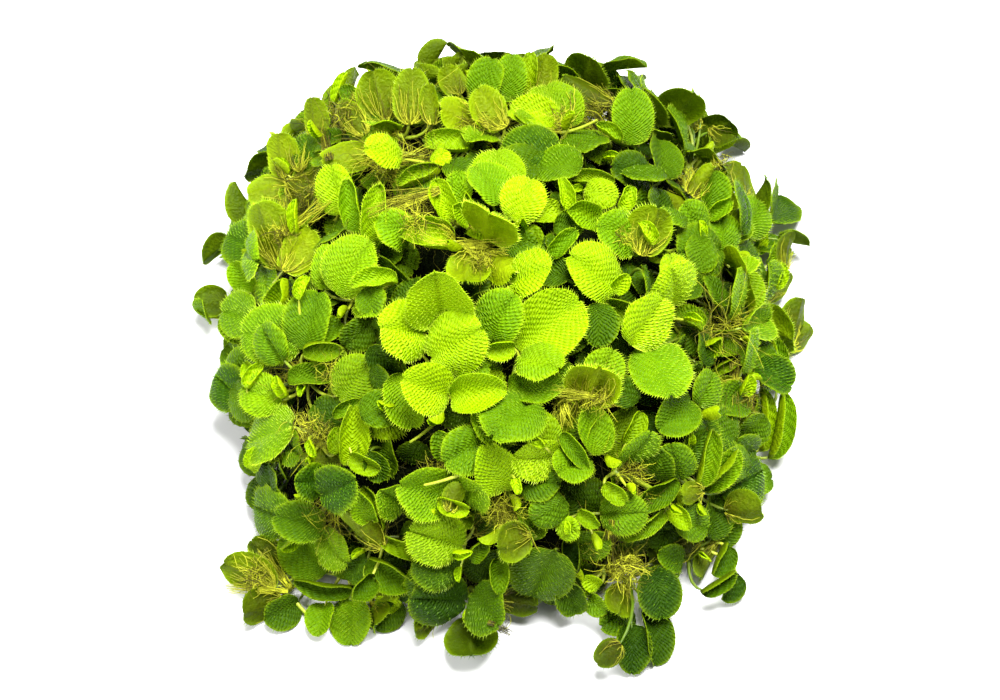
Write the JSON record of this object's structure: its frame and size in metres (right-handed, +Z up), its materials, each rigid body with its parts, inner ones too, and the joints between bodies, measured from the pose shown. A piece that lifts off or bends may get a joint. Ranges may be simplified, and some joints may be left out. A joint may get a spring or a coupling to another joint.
{
  "type": "clump of water spangles",
  "caption": "Rounded clump of small floating ferns with round hairy leaves, held together by their tangled roots.",
  "frame": {"origin": "middle of the flat underside that the clump rests on", "axes": "+Z up out of the clump, +X to the right and +Y away as seen from the front"},
  "size_m": [0.1439, 0.1568, 0.064],
  "materials": {
    "leaf": "soft satin leaf with hairs",
    "root": "matt tangled fibres"
  },
  "bodies": {
    "root": {"plant_01": "leaf", "plant_02": "leaf", "plant_03": "leaf", "plant_04": "leaf", "plant_05": "leaf", "plant_06": "leaf", "plant_07": "leaf", "plant_08": "leaf", "plant_09": "leaf", "plant_10": "leaf", "plant_11": "leaf", "plant_12": "leaf", "plant_13": "leaf", "plant_14": "leaf", "plant_15": "leaf", "plant_16": "leaf", "plant_17": "leaf", "plant_18": "leaf", "plant_19": "leaf", "plant_20": "leaf", "plant_21": "leaf", "plant_22": "leaf", "plant_23": "leaf", "plant_24": "leaf", "plant_25": "leaf", "plant_26": "leaf", "plant_27": "leaf", "plant_28": "leaf", "plant_29": "leaf", "plant_30": "leaf", "plant_31": "leaf", "plant_32": "leaf", "plant_33": "leaf", "plant_34": "leaf", "plant_35": "leaf", "plant_36": "leaf", "plant_37": "leaf", "plant_38": "leaf", "plant_39": "leaf", "plant_40": "leaf", "plant_41": "leaf", "plant_42": "leaf", "plant_43": "leaf", "plant_44": "leaf", "plant_45": "leaf", "plant_46": "leaf", "plant_47": "leaf", "plant_48": "leaf", "plant_49": "leaf", "plant_50": "leaf", "plant_51": "leaf", "plant_52": "leaf", "plant_53": "leaf", "plant_54": "leaf", "plant_55": "leaf", "plant_56": "leaf", "plant_57": "leaf", "plant_58": "leaf", "root_tangle": "root"}
  },
  "joints": []
}
